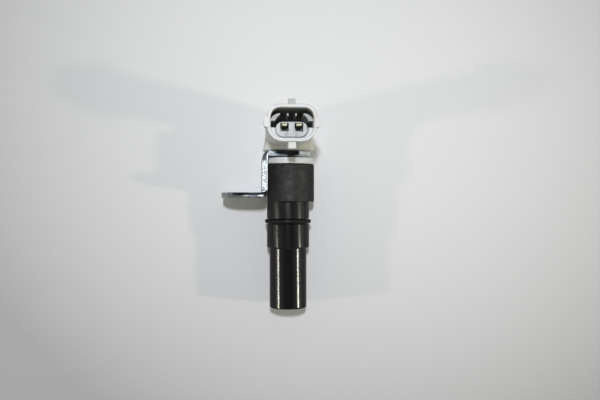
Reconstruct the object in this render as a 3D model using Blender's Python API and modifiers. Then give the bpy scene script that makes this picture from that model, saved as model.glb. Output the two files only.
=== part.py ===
"""Pulse sensor: a coil sensor that reads a toothed wheel past its tip.

The sensor is modelled upright, with the centre of its sensing tip at the origin, the probe axis along Z,
the plug socket facing -Y and the foot of the bracket pointing to -X. An empty then lays it on its back,
with the socket up, so that the probe points to -Y of the scene.
"""

import math

import bmesh
import bpy
from mathutils import Vector

MM = 0.001

# Clearances between pieces that seat on each other
SEAT_GAP = 0.3 * MM
STRIP_GAP = 0.2 * MM

# Black housing, from the tip upwards
PROBE_DIAMETER = 15.5 * MM
PROBE_LENGTH = 25.3 * MM
TIP_ROUND = 0.7 * MM
TIP_WALL = 1.2 * MM
BARREL_DIAMETER = 17.8 * MM
BARREL_LENGTH = 19.4 * MM
BARREL_CHAMFER = 0.5 * MM
COLLAR_DIAMETER = 22.0 * MM
COLLAR_LENGTH = 15.5 * MM
COLLAR_EDGE = 0.3 * MM
COIL_BORE = 12.6 * MM
SPIGOT_BORE = 15.0 * MM
SPIGOT_BORE_DEPTH = 11.2 * MM

# Sealing ring and its groove in the barrel
RING_CORD = 1.8 * MM
GROOVE_DIAMETER = 15.4 * MM
GROOVE_WIDTH = 2.4 * MM
GROOVE_ABOVE_PROBE = 11.2 * MM

# Folded bracket
SHEET = 2.15 * MM
BRACKET_WIDTH = 22.8 * MM
BEND_RADIUS = 1.0 * MM
FOOT_RAISE = 1.65 * MM
FOOT_REACH = 27.9 * MM
FOOT_CORNER = 9.5 * MM
BOLT_HOLE = 6.8 * MM
BOLT_REACH = 20.0 * MM
FORK_REACH = 9.1 * MM
FORK_CHAMFER = 5.3 * MM
WEB_REACH = 8.9 * MM
FORK_PLAY = 0.4 * MM

# White head: spigot, lower ring, neck and hood
SPIGOT_LENGTH = 10.9 * MM
SPIGOT_CHAMFER = 0.6 * MM
RING_HEIGHT = 2.45 * MM
NECK_DIAMETER = 13.2 * MM
NECK_FLATS = 10.8 * MM
HOOD_FOOT_WIDTH = 21.0 * MM
HOOD_FOOT_FRONT = 9.5 * MM
HOOD_FOOT_EDGE = 0.3 * MM
HOOD_SHOULDER_WIDTH = 17.8 * MM
HOOD_SHOULDER_FRONT = 8.3 * MM
HOOD_SHOULDER = 11.1 * MM
HOOD_CROWN = 5.0 * MM
HOOD_CORNER = 3.0 * MM

# Plug socket: its mouth, walls and pocket
SOCKET_REACH = 31.0 * MM
SOCKET_ABOVE_NECK = 8.95 * MM
SOCKET_WIDTH = 19.3 * MM
SOCKET_HEIGHT = 14.4 * MM
SOCKET_TOP_ROUND = 5.0 * MM
SOCKET_LOW_ROUND = 6.0 * MM
SOCKET_WALL = 1.4 * MM
SOCKET_DEPTH = 20.0 * MM
SOCKET_BACK_START = 5.0 * MM
SOCKET_BACK_REACH = 7.0 * MM
SOCKET_BACK_INSET = 4.6 * MM
MOUTH_CHAMFER = 0.25 * MM

# Keying ring inside the pocket
KEY_RING_DEPTH = 3.1 * MM
KEY_RING_DROP = 1.9 * MM
KEY_RING_TOP_WALL = 0.35 * MM
KEY_RING_SIDE_WALL = 1.75 * MM
KEY_RING_ROUND = 3.3 * MM
KEY_SLOT_WIDTH = 2.6 * MM
KEY_TOOTH_WIDTH = 0.6 * MM
KEY_TOOTH_HEIGHT = 1.0 * MM
SIDE_KEY_HEIGHT = 2.6 * MM
SIDE_KEY_BELOW_CENTRE = 0.3 * MM

# Pedestal that carries the contacts
PEDESTAL_WIDTH = 12.4 * MM
PEDESTAL_HEIGHT = 5.8 * MM
PEDESTAL_BELOW_CENTRE = 2.2 * MM
PEDESTAL_TOP_ROUND = 2.7 * MM
PEDESTAL_LOW_ROUND = 2.9 * MM
PEDESTAL_EDGE = 0.2 * MM
PEDESTAL_DEPTH = 4.1 * MM
GROOVE_ROUND_PEDESTAL = 0.35 * MM
GROOVE_BELOW_PEDESTAL = 1.5 * MM
WINDOW_WIDTH = 3.3 * MM
WINDOW_HEIGHT = 3.3 * MM
WINDOW_DEPTH = 7.0 * MM
DIMPLE_DIAMETER = 1.3 * MM
DIMPLE_DEPTH = 0.3 * MM
DIMPLE_PITCH = 3.9 * MM
DIMPLE_ABOVE_EDGE = 1.0 * MM

# Latch ramp, side lugs and rib on the outside of the socket
LATCH_WIDTH = 2.8 * MM
LATCH_HEIGHT = 2.4 * MM
LATCH_SETBACK = 0.3 * MM
LATCH_RAMP = 2.8 * MM
LATCH_LENGTH = 5.5 * MM
LUG_PROUD = 1.2 * MM
LUG_HEIGHT = 4.1 * MM
LUG_BELOW_CENTRE = 1.8 * MM
LUG_ROUND = 1.1 * MM
LUG_LENGTH = 5.0 * MM
RIB_WIDTH = 2.9 * MM
RIB_HEIGHT = 2.6 * MM
RIB_SETBACK = 1.0 * MM
RIB_LENGTH = 6.0 * MM

# Contact strips
CONTACT_PITCH = 5.6 * MM
CONTACT_WIDTH = 2.1 * MM
CONTACT_THICKNESS = 0.8 * MM
CONTACT_BEND = 1.2 * MM
CONTACT_SETBACK = 0.3 * MM
CONTACT_BELOW_TOP = 0.65 * MM
CONTACT_TAIL = 9.0 * MM

# Coil, core and magnet in the probe
CORE_DIAMETER = 4.6 * MM
CORE_LENGTH = 25.0 * MM
CORE_EDGE = 0.3 * MM
BOBBIN_LENGTH = 23.5 * MM
BOBBIN_FLANGE = 1.1 * MM
BOBBIN_WALL = 0.8 * MM
FLANGE_NOTCH = 1.6 * MM
WINDING_DIAMETER = 10.4 * MM
TAPE_THICKNESS = 0.35 * MM
MAGNET_DIAMETER = 8.0 * MM
MAGNET_LENGTH = 7.5 * MM
YOKE_THICKNESS = 1.4 * MM
LEAD_DIAMETER = 0.6 * MM
POTTING_LENGTH = 8.0 * MM

# Fineness of turned shapes and of the arcs in outlines
TURN_STEPS = 64
ARC_STEPS = 6
BACK_STEPS = 6
CROWN_STEPS = 5
HIDDEN_STEPS = 40
SHARP_ANGLE = math.radians(32)

# Sizes that follow from the ones above
HOUSING_TOP = PROBE_LENGTH + BARREL_LENGTH + COLLAR_LENGTH
COLLAR_BOTTOM = PROBE_LENGTH + BARREL_LENGTH
GROOVE_CENTRE = PROBE_LENGTH + GROOVE_ABOVE_PROBE
FLAT_REACH = WEB_REACH - SEAT_GAP
RING_BOTTOM = HOUSING_TOP + SEAT_GAP
RING_TOP = RING_BOTTOM + RING_HEIGHT
PLATE_BOTTOM = RING_TOP + FORK_PLAY
NECK_TOP = PLATE_BOTTOM + SHEET + FORK_PLAY
FOOT_BOTTOM = COLLAR_BOTTOM + FOOT_RAISE
SPIGOT_BOTTOM = RING_BOTTOM - SPIGOT_LENGTH
SOCKET_CENTRE = NECK_TOP + SOCKET_ABOVE_NECK
POCKET_FLOOR = SOCKET_REACH - SOCKET_DEPTH
KEY_RING_FACE = SOCKET_REACH - KEY_RING_DEPTH
KEY_RING_TOP = SOCKET_CENTRE + SOCKET_HEIGHT / 2 - SOCKET_WALL - KEY_RING_DROP
SIDE_KEY_CENTRE = SOCKET_CENTRE - SIDE_KEY_BELOW_CENTRE
PEDESTAL_FACE = SOCKET_REACH - PEDESTAL_DEPTH
PEDESTAL_CENTRE = SOCKET_CENTRE - PEDESTAL_BELOW_CENTRE
CONTACT_LEVEL = PEDESTAL_CENTRE + PEDESTAL_HEIGHT / 2 - CONTACT_BELOW_TOP - CONTACT_THICKNESS / 2
CONTACT_END = SPIGOT_BOTTOM - CONTACT_TAIL
WINDOW_TOP = CONTACT_LEVEL + CONTACT_THICKNESS / 2 + STRIP_GAP
CORE_BOTTOM = TIP_WALL + SEAT_GAP
BOBBIN_BOTTOM = CORE_BOTTOM
BOBBIN_TOP = BOBBIN_BOTTOM + BOBBIN_LENGTH
BOBBIN_RADIUS = COIL_BORE / 2 - SEAT_GAP
BOBBIN_BORE = CORE_DIAMETER / 2 + STRIP_GAP
BOBBIN_CORE = BOBBIN_BORE + BOBBIN_WALL
MAGNET_BOTTOM = CORE_BOTTOM + CORE_LENGTH + SEAT_GAP
YOKE_BOTTOM = MAGNET_BOTTOM + MAGNET_LENGTH + SEAT_GAP
POTTING_TOP = SPIGOT_BOTTOM - SEAT_GAP
POTTING_BOTTOM = POTTING_TOP - POTTING_LENGTH

EXTRA = 2.0 * MM


def clear_scene():
    """Removes what an opened scene holds, so that the sensor stands alone."""
    for old in list(bpy.data.objects):
        bpy.data.objects.remove(old, do_unlink=True)


def make_collection(name):
    """A new collection in the scene."""
    made = bpy.data.collections.new(name)
    bpy.context.scene.collection.children.link(made)
    return made


def make_laying_frame():
    """The empty that lays the upright sensor on its back, with the socket up."""
    frame = bpy.data.objects.new("laying_frame", None)
    frame.rotation_euler = (-math.pi / 2, 0, 0)
    bpy.context.scene.collection.objects.link(frame)
    return frame


clear_scene()
PARTS = make_collection("pulse_sensor")
CUTTERS = make_collection("construction_shapes")
LAYING_FRAME = make_laying_frame()


def smooth_by_angle():
    """A node group that shades a mesh smooth and keeps the edges sharper than SHARP_ANGLE crisp."""
    group = bpy.data.node_groups.new("smooth_by_angle", "GeometryNodeTree")
    group.interface.new_socket("Geometry", in_out="INPUT", socket_type="NodeSocketGeometry")
    group.interface.new_socket("Geometry", in_out="OUTPUT", socket_type="NodeSocketGeometry")
    start = group.nodes.new("NodeGroupInput")
    end = group.nodes.new("NodeGroupOutput")
    angle = group.nodes.new("GeometryNodeInputMeshEdgeAngle")
    gentle = group.nodes.new("FunctionNodeCompare")
    gentle.operation = "LESS_THAN"
    gentle.inputs["B"].default_value = SHARP_ANGLE
    faces = group.nodes.new("GeometryNodeSetShadeSmooth")
    edges = group.nodes.new("GeometryNodeSetShadeSmooth")
    edges.domain = "EDGE"
    group.links.new(angle.outputs["Unsigned Angle"], gentle.inputs["A"])
    group.links.new(start.outputs["Geometry"], faces.inputs["Geometry"])
    group.links.new(faces.outputs["Geometry"], edges.inputs["Geometry"])
    group.links.new(gentle.outputs["Result"], edges.inputs["Shade Smooth"])
    group.links.new(edges.outputs["Geometry"], end.inputs["Geometry"])
    return group


SMOOTHING = smooth_by_angle()


def material(name, colour, roughness, metallic=0.0):
    """A plain finish: linear colour, roughness and metallic value."""
    made = bpy.data.materials.new(name)
    made.use_nodes = True
    shader = made.node_tree.nodes["Principled BSDF"]
    shader.inputs["Base Color"].default_value = (*colour, 1.0)
    shader.inputs["Roughness"].default_value = roughness
    shader.inputs["Metallic"].default_value = metallic
    made.diffuse_color = (*colour, 1.0)
    return made


def add_object(name, mesh):
    """A helper shape, shown as a wire and left out of renders, in the sensor's own upright frame."""
    made = bpy.data.objects.new(name, mesh)
    CUTTERS.objects.link(made)
    made.parent = LAYING_FRAME
    made.hide_render = True
    made.display_type = "WIRE"
    return made


def make_part(shape, name, finish):
    """Turns a helper shape into a piece of the sensor, with its name, finish and smooth shading."""
    CUTTERS.objects.unlink(shape)
    PARTS.objects.link(shape)
    shape.name = name
    shape.hide_render = False
    shape.display_type = "TEXTURED"
    shape.data.materials.clear()
    shape.data.materials.append(finish)
    smoothing = shape.modifiers.new("smooth by angle", "NODES")
    smoothing.node_group = SMOOTHING
    return shape


def boolean(shape, other, operation):
    """Joins, cuts or keeps the common part of two shapes."""
    step = shape.modifiers.new(f"{operation.lower()} {other.name}", "BOOLEAN")
    step.operation = operation
    step.solver = "EXACT"
    step.object = other


def cut(shape, *cutters):
    for cutter in cutters:
        boolean(shape, cutter, "DIFFERENCE")


def join(shape, *others):
    for other in others:
        boolean(shape, other, "UNION")


def box(name, low, high, edge=0.0):
    """A box between two corners, with rounded edges if edge is given."""
    low = Vector(low)
    high = Vector(high)
    form = bmesh.new()
    bmesh.ops.create_cube(form, size=1.0)
    bmesh.ops.scale(form, vec=high - low, verts=form.verts)
    bmesh.ops.translate(form, vec=(low + high) / 2, verts=form.verts)
    mesh = bpy.data.meshes.new(name)
    form.to_mesh(mesh)
    form.free()
    made = add_object(name, mesh)
    if edge:
        rounding = made.modifiers.new("rounded edges", "BEVEL")
        rounding.width = edge
        rounding.segments = 2
    return made


def turned(name, profile, closed=False, steps=TURN_STEPS):
    """A shape turned about Z from (radius, height) points that run down its outer side.

    An open profile starts and ends on the axis. A closed one comes back up along a bore.
    """
    mesh = bpy.data.meshes.new(name)
    edges = [(i, i + 1) for i in range(len(profile) - 1)]
    if closed:
        edges.append((len(profile) - 1, 0))
    mesh.from_pydata([(radius, 0, height) for radius, height in profile], edges, [])
    made = add_object(name, mesh)
    turning = made.modifiers.new("turn", "SCREW")
    turning.steps = steps
    turning.render_steps = steps
    turning.use_merge_vertices = True
    turning.merge_threshold = 0.00001
    turning.use_smooth_shade = True
    return made


def arc(centre, radius, start, end, steps=ARC_STEPS):
    """Points on an arc between two angles in degrees."""
    points = []
    for step in range(steps + 1):
        angle = math.radians(start + (end - start) * step / steps)
        points.append((centre[0] + radius * math.cos(angle), centre[1] + radius * math.sin(angle)))
    return points


def rounded_outline(half_width, low, high, low_round, high_round):
    """The outline of a panel with one corner radius at its top and another at its foot."""
    points = []
    for x, z, radius, start in (
        (half_width - high_round, high - high_round, high_round, 0),
        (high_round - half_width, high - high_round, high_round, 90),
        (low_round - half_width, low + low_round, low_round, 180),
        (half_width - low_round, low + low_round, low_round, 270),
    ):
        points += arc((x, z), radius, start, start + 90)
    return points


def extruded(name, outline, low, high, plane, edge=0.0):
    """A flat outline extruded from low to high along the normal of its plane, XY, XZ or YZ.

    In the XZ plane the distances run towards the mouth of the socket, which is -Y.
    """
    curve = bpy.data.curves.new(name, "CURVE")
    curve.dimensions = "2D"
    curve.fill_mode = "BOTH"
    curve.extrude = (high - low) / 2
    spline = curve.splines.new("POLY")
    spline.points.add(len(outline) - 1)
    for point, (u, v) in zip(spline.points, outline):
        point.co = (u, v, 0, 1)
    spline.use_cyclic_u = True
    guide = bpy.data.objects.new(name, curve)
    CUTTERS.objects.link(guide)
    middle = (low + high) / 2
    if plane == "XY":
        guide.location = (0, 0, middle)
    elif plane == "XZ":
        guide.rotation_euler = (math.pi / 2, 0, 0)
        guide.location = (0, -middle, 0)
    else:
        guide.rotation_euler = (math.pi / 2, 0, math.pi / 2)
        guide.location = (middle, 0, 0)
    made = curve_to_mesh(guide)
    if edge:
        rounding = made.modifiers.new("rounded edges", "BEVEL")
        rounding.width = edge
        rounding.segments = 2
        rounding.limit_method = "ANGLE"
        rounding.angle_limit = math.radians(60)
    return made


def lofted(name, sections):
    """A closed skin over sections that each hold the same number of points."""
    form = bmesh.new()
    rings = [[form.verts.new(point) for point in section] for section in sections]
    for near, far in zip(rings, rings[1:]):
        for here in range(len(near)):
            ahead = (here + 1) % len(near)
            form.faces.new((near[here], near[ahead], far[ahead], far[here]))
    form.faces.new(rings[0])
    form.faces.new(rings[-1])
    bmesh.ops.recalc_face_normals(form, faces=form.faces)
    mesh = bpy.data.meshes.new(name)
    form.to_mesh(mesh)
    form.free()
    return add_object(name, mesh)


def curve_to_mesh(guide):
    """Replaces a curve object by the welded mesh of its surface."""
    bpy.context.view_layer.update()
    evaluated = guide.evaluated_get(bpy.context.evaluated_depsgraph_get())
    mesh = bpy.data.meshes.new_from_object(evaluated)
    form = bmesh.new()
    form.from_mesh(mesh)
    bmesh.ops.remove_doubles(form, verts=form.verts, dist=0.000001)
    bmesh.ops.recalc_face_normals(form, faces=form.faces)
    form.transform(guide.matrix_world)
    form.to_mesh(mesh)
    form.free()
    name = guide.name
    bpy.data.objects.remove(guide, do_unlink=True)
    return add_object(name, mesh)


def folded_outline(corners, thickness, inner_radius):
    """The side view of a sheet folded along a path: its middle line runs through corners."""
    radius = inner_radius + thickness / 2
    corners = [Vector(corner) for corner in corners]
    line = []
    for before, corner, after in zip(corners, corners[1:], corners[2:]):
        heading = math.atan2(*(corner - before).yx)
        turn = math.atan2(*(after - corner).yx) - heading
        turn = (turn + math.pi) % (2 * math.pi) - math.pi
        side = math.copysign(1, turn)
        inset = radius * math.tan(abs(turn) / 2)
        start = corner - (corner - before).normalized() * inset
        left = Vector((-math.sin(heading), math.cos(heading)))
        centre = start + left * radius * side
        for step in range(ARC_STEPS + 1):
            angle = heading + turn * step / ARC_STEPS
            left = Vector((-math.sin(angle), math.cos(angle)))
            line.append((centre - left * radius * side, left))
    first = (corners[1] - corners[0]).normalized()
    last = (corners[-1] - corners[-2]).normalized()
    line.insert(0, (corners[0], Vector((-first.y, first.x))))
    line.append((corners[-1], Vector((-last.y, last.x))))
    half = thickness / 2
    one_side = [point + left * half for point, left in line]
    other_side = [point - left * half for point, left in reversed(line)]
    return [tuple(point) for point in one_side + other_side]


def housing_profile():
    """The side of the housing: down its outside, round the tip, and up the stepped bore."""
    probe = PROBE_DIAMETER / 2
    barrel = BARREL_DIAMETER / 2
    collar = COLLAR_DIAMETER / 2
    groove = GROOVE_DIAMETER / 2
    groove_low = GROOVE_CENTRE - GROOVE_WIDTH / 2
    groove_high = GROOVE_CENTRE + GROOVE_WIDTH / 2
    bore = COIL_BORE / 2
    spigot_bore = SPIGOT_BORE / 2
    step = HOUSING_TOP - SPIGOT_BORE_DEPTH
    return [
        (spigot_bore, HOUSING_TOP),
        (collar - COLLAR_EDGE, HOUSING_TOP),
        (collar, HOUSING_TOP - COLLAR_EDGE),
        (collar, COLLAR_BOTTOM + COLLAR_EDGE),
        (collar - COLLAR_EDGE, COLLAR_BOTTOM),
        (barrel, COLLAR_BOTTOM),
        (barrel, groove_high),
        (groove, groove_high),
        (groove, groove_low),
        (barrel, groove_low),
        (barrel, PROBE_LENGTH + BARREL_CHAMFER),
        (barrel - BARREL_CHAMFER, PROBE_LENGTH),
        (probe, PROBE_LENGTH),
        *arc((probe - TIP_ROUND, TIP_ROUND), TIP_ROUND, 0, -90, 4),
        (0, 0),
        (0, TIP_WALL),
        (bore, TIP_WALL),
        (bore, step),
        (spigot_bore, step),
    ]


def make_housing():
    """The black moulding: glossy probe, sealing barrel and matte collar, with the flat for the bracket."""
    shape = turned("housing_shape", housing_profile(), closed=True)
    flat = box(
        "collar_flat",
        (-COLLAR_DIAMETER, -COLLAR_DIAMETER, COLLAR_BOTTOM - EXTRA),
        (-FLAT_REACH, COLLAR_DIAMETER, HOUSING_TOP + EXTRA),
    )
    cut(shape, flat)
    return make_part(shape, "housing", material("black_plastic", (0.013, 0.013, 0.014), 0.4))


def make_sealing_ring():
    """The rubber ring that lies in the groove of the barrel."""
    cord = RING_CORD / 2
    centre = GROOVE_DIAMETER / 2 + SEAT_GAP + cord
    circle = arc((centre, GROOVE_CENTRE), cord, 0, -330, 11)
    shape = turned("sealing_ring_shape", circle, closed=True)
    return make_part(shape, "sealing_ring", material("black_rubber", (0.01, 0.01, 0.011), 0.55))


def fork_slot():
    """The opening of the fork: parallel sides for the neck's flats and a round end for the neck."""
    half = NECK_FLATS / 2 + SEAT_GAP
    round_end = NECK_DIAMETER / 2 + SEAT_GAP
    start = 180 - math.degrees(math.asin(half / round_end))
    mouth = FORK_REACH + EXTRA
    outline = [(mouth, half), *arc((0, 0), round_end, start, 360 - start, 16), (mouth, -half)]
    return extruded("fork_slot", outline, PLATE_BOTTOM - EXTRA, NECK_TOP + EXTRA, "XY")


def fork_corner(side):
    """The wedge taken off one arm's outer corner."""
    half = BRACKET_WIDTH / 2
    outline = [
        (FORK_REACH - FORK_CHAMFER - EXTRA, side * (half + EXTRA)),
        (FORK_REACH + EXTRA, side * (half + EXTRA)),
        (FORK_REACH + EXTRA, side * (half - FORK_CHAMFER - EXTRA)),
    ]
    return extruded(f"fork_corner_{side}", outline, PLATE_BOTTOM - EXTRA, NECK_TOP + EXTRA, "XY")


def foot_blank():
    """The flat outline of the bracket seen along the probe axis, with the foot's round corners."""
    half = BRACKET_WIDTH / 2
    end = FOOT_CORNER - FOOT_REACH
    outline = [
        (FORK_REACH + EXTRA, half),
        *arc((end, half - FOOT_CORNER), FOOT_CORNER, 90, 180),
        *arc((end, FOOT_CORNER - half), FOOT_CORNER, 180, 270),
        (FORK_REACH + EXTRA, -half),
    ]
    return extruded("foot_blank", outline, FOOT_BOTTOM - EXTRA, NECK_TOP + EXTRA, "XY")


def make_bracket():
    """Sheet steel folded twice: a fork round the neck, a web along the flats and a foot with a bolt hole."""
    plate = PLATE_BOTTOM + SHEET / 2
    web = -WEB_REACH - SHEET / 2
    foot = FOOT_BOTTOM + SHEET / 2
    path = [(FORK_REACH, plate), (web, plate), (web, foot), (-FOOT_REACH, foot)]
    side_view = folded_outline(path, SHEET, BEND_RADIUS)
    half = BRACKET_WIDTH / 2
    shape = extruded("bracket_sheet", side_view, -half - EXTRA, half + EXTRA, "XZ")
    boolean(shape, foot_blank(), "INTERSECT")
    bolt_radius = BOLT_HOLE / 2
    hole = extruded(
        "bolt_hole",
        arc((-BOLT_REACH, 0), bolt_radius, 0, 345, 23),
        FOOT_BOTTOM - EXTRA,
        FOOT_BOTTOM + SHEET + EXTRA,
        "XY",
    )
    cut(shape, fork_slot(), fork_corner(1), fork_corner(-1), hole)
    return make_part(shape, "mounting_bracket", material("zinc_plate", (0.62, 0.65, 0.68), 0.3, 1.0))


def head_profile():
    """The side of the head's turned part: the neck, the ring and the spigot."""
    neck = NECK_DIAMETER / 2
    ring = COLLAR_DIAMETER / 2
    spigot = SPIGOT_BORE / 2 - SEAT_GAP
    return [
        (0, NECK_TOP + EXTRA),
        (neck, NECK_TOP + EXTRA),
        (neck, RING_TOP),
        (ring, RING_TOP),
        (ring, RING_BOTTOM),
        (spigot, RING_BOTTOM),
        (spigot, SPIGOT_BOTTOM + SPIGOT_CHAMFER),
        (spigot - SPIGOT_CHAMFER, SPIGOT_BOTTOM),
        (0, SPIGOT_BOTTOM),
    ]


def hood_section(half_width, front, corner, height):
    """A level section of the hood: half round at the back, flat at the front with two corners."""
    flank = corner - front
    outline = [
        *arc((0, 0), half_width, 0, 180, 4 * ARC_STEPS),
        *arc((corner - half_width, flank), corner, 180, 270),
        *arc((half_width - corner, flank), corner, 270, 360),
    ]
    return [(x, y, height) for x, y in outline]


def hood():
    """The hood over the neck: its sides draw in to a shoulder, and a round crown closes it."""
    foot = HOOD_FOOT_WIDTH / 2
    edge = HOOD_FOOT_EDGE
    sections = [
        hood_section(foot - edge, HOOD_FOOT_FRONT - edge, HOOD_CORNER, NECK_TOP),
        hood_section(foot, HOOD_FOOT_FRONT, HOOD_CORNER, NECK_TOP + edge),
    ]
    for step in range(CROWN_STEPS):
        angle = math.pi / 2 * step / CROWN_STEPS
        share = math.cos(angle)
        sections.append(
            hood_section(
                share * HOOD_SHOULDER_WIDTH / 2,
                share * HOOD_SHOULDER_FRONT,
                share * HOOD_CORNER,
                NECK_TOP + HOOD_SHOULDER + HOOD_CROWN * math.sin(angle),
            )
        )
    return lofted("hood", sections)


def socket_outline(inset, drop=0.0):
    """The socket's outline drawn in by inset all round, with its top lowered by drop besides."""
    half = SOCKET_HEIGHT / 2
    return rounded_outline(
        SOCKET_WIDTH / 2 - inset,
        SOCKET_CENTRE - half + inset,
        SOCKET_CENTRE + half - inset - drop,
        SOCKET_LOW_ROUND - inset,
        SOCKET_TOP_ROUND - inset,
    )


def socket_section(inset, reach):
    """The socket's outline as points at a distance from the probe axis."""
    return [(x, -reach, z) for x, z in socket_outline(inset)]


def socket_body():
    """The outside of the socket, from its chamfered mouth to the rounded back that fades into the hood."""
    sections = [
        socket_section(MOUTH_CHAMFER, SOCKET_REACH),
        socket_section(0, SOCKET_REACH - MOUTH_CHAMFER),
    ]
    for step in range(BACK_STEPS + 1):
        share = math.sin(math.pi / 2 * step / BACK_STEPS)
        inset = SOCKET_BACK_INSET * (1 - math.sqrt(1 - share * share))
        reach = SOCKET_BACK_START - (SOCKET_BACK_START + SOCKET_BACK_REACH) * share
        sections.append(socket_section(inset, reach))
    return lofted("socket_body", sections)


def key_slots():
    """The gaps in the keying ring: a wide one at its top and one at each side."""
    half = 1.5 * KEY_SLOT_WIDTH + KEY_TOOTH_WIDTH
    reach = SOCKET_WIDTH / 2 - SOCKET_WALL
    return [
        box(
            "top_key_slot",
            (-half, -KEY_RING_FACE - EXTRA, SOCKET_CENTRE),
            (half, -POCKET_FLOOR, KEY_RING_TOP + KEY_RING_DROP / 2),
        ),
        box(
            "side_key_slots",
            (-reach, -KEY_RING_FACE - EXTRA, SIDE_KEY_CENTRE - SIDE_KEY_HEIGHT / 2),
            (reach, -POCKET_FLOOR, SIDE_KEY_CENTRE + SIDE_KEY_HEIGHT / 2),
        ),
    ]


def key_tooth(side):
    """One of the two teeth that part the top slot in three."""
    middle = side * (KEY_SLOT_WIDTH + KEY_TOOTH_WIDTH) / 2
    return box(
        f"key_tooth_{side}",
        (middle - KEY_TOOTH_WIDTH / 2, -KEY_RING_FACE, KEY_RING_TOP - KEY_TOOTH_HEIGHT),
        (middle + KEY_TOOTH_WIDTH / 2, EXTRA - POCKET_FLOOR, KEY_RING_TOP),
    )


def key_ring():
    """The ring of plastic that only the right plug fits: two arcs above, a bed for the pedestal below."""
    ring = extruded(
        "key_ring",
        socket_outline(SOCKET_WALL - STRIP_GAP, KEY_RING_DROP + STRIP_GAP),
        POCKET_FLOOR - EXTRA,
        KEY_RING_FACE,
        "XZ",
    )
    bore = extruded(
        "key_ring_bore",
        rounded_outline(
            SOCKET_WIDTH / 2 - SOCKET_WALL - KEY_RING_SIDE_WALL,
            SIDE_KEY_CENTRE - SIDE_KEY_HEIGHT / 4,
            KEY_RING_TOP - KEY_RING_TOP_WALL,
            SIDE_KEY_HEIGHT / 4,
            KEY_RING_ROUND,
        ),
        POCKET_FLOOR - EXTRA - EXTRA,
        KEY_RING_FACE + EXTRA,
        "XZ",
    )
    groove = extruded(
        "pedestal_groove",
        pedestal_outline(GROOVE_ROUND_PEDESTAL),
        PEDESTAL_FACE - GROOVE_BELOW_PEDESTAL,
        KEY_RING_FACE + EXTRA,
        "XZ",
    )
    cut(ring, bore, groove, *key_slots())
    return ring


def pedestal_outline(growth=0.0):
    """The outline of the pedestal, grown all round."""
    half = PEDESTAL_HEIGHT / 2 + growth
    return rounded_outline(
        PEDESTAL_WIDTH / 2 + growth,
        PEDESTAL_CENTRE - half,
        PEDESTAL_CENTRE + half,
        PEDESTAL_LOW_ROUND + growth,
        PEDESTAL_TOP_ROUND + growth,
    )


def pocket_cutter():
    """What is hollow in the socket: the pocket, less the keying ring and the pedestal that stand in it."""
    pocket = lofted(
        "pocket",
        [
            socket_section(SOCKET_WALL, POCKET_FLOOR),
            socket_section(SOCKET_WALL, SOCKET_REACH - MOUTH_CHAMFER),
            socket_section(SOCKET_WALL - MOUTH_CHAMFER, SOCKET_REACH),
            socket_section(SOCKET_WALL - MOUTH_CHAMFER, SOCKET_REACH + EXTRA),
        ],
    )
    pedestal = extruded(
        "pedestal",
        pedestal_outline(),
        POCKET_FLOOR - EXTRA,
        PEDESTAL_FACE,
        "XZ",
        edge=PEDESTAL_EDGE,
    )
    cut(pocket, key_ring(), key_tooth(-1), key_tooth(1), pedestal)
    return pocket


def latch_ramp():
    """The ramp on top of the socket that the plug's latch rides over."""
    top = SOCKET_CENTRE + SOCKET_HEIGHT / 2
    root = top - SOCKET_WALL
    front = -SOCKET_REACH + LATCH_SETBACK
    outline = [
        (front, root),
        (front, top),
        (front + LATCH_RAMP, top + LATCH_HEIGHT),
        (front + LATCH_LENGTH, top + LATCH_HEIGHT),
        (front + LATCH_LENGTH, root),
    ]
    return extruded("latch_ramp", outline, -LATCH_WIDTH / 2, LATCH_WIDTH / 2, "YZ")


def side_lugs():
    """The guide lugs beside the mouth: one bar across the socket, which the pocket then parts in two."""
    low = SOCKET_CENTRE - LUG_BELOW_CENTRE
    half_width = SOCKET_WIDTH / 2 + LUG_PROUD
    outline = rounded_outline(half_width, low, low + LUG_HEIGHT, LUG_ROUND, LUG_ROUND)
    front = SOCKET_REACH + SEAT_GAP
    return extruded("side_lugs", outline, front - LUG_LENGTH, front, "XZ")


def guide_rib():
    """The short rib under the socket's mouth."""
    front = RIB_SETBACK - SOCKET_REACH
    root = SOCKET_CENTRE - SOCKET_HEIGHT / 2
    return box(
        "guide_rib",
        (-RIB_WIDTH / 2, front, root - RIB_HEIGHT),
        (RIB_WIDTH / 2, front + RIB_LENGTH, root + SOCKET_WALL / 2),
    )


def contact_path(reach_in, reach_down):
    """The middle line of a contact: in from the pedestal, then down the probe axis."""
    return [
        (-PEDESTAL_FACE + CONTACT_SETBACK - reach_in, CONTACT_LEVEL),
        (0, CONTACT_LEVEL),
        (0, CONTACT_END - reach_down),
    ]


def contact_places():
    """The distance of each contact from the middle, by name."""
    return {"left": -CONTACT_PITCH / 2, "right": CONTACT_PITCH / 2}


def contact_cutters():
    """The windows in the pedestal and the slots that the contacts pass through."""
    cutters = []
    for name, x in contact_places().items():
        slot = folded_outline(
            contact_path(EXTRA, EXTRA - CONTACT_TAIL),
            CONTACT_THICKNESS + 2 * STRIP_GAP,
            CONTACT_BEND - STRIP_GAP,
        )
        half = CONTACT_WIDTH / 2 + STRIP_GAP
        cutters.append(extruded(f"contact_slot_{name}", slot, x - half, x + half, "YZ"))
        cutters.append(
            box(
                f"window_{name}",
                (x - WINDOW_WIDTH / 2, -PEDESTAL_FACE - EXTRA, WINDOW_TOP - WINDOW_HEIGHT),
                (x + WINDOW_WIDTH / 2, WINDOW_DEPTH - PEDESTAL_FACE, WINDOW_TOP),
            )
        )
        cutters.append(dimple(name, math.copysign(DIMPLE_PITCH / 2, x)))
    return cutters


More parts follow.
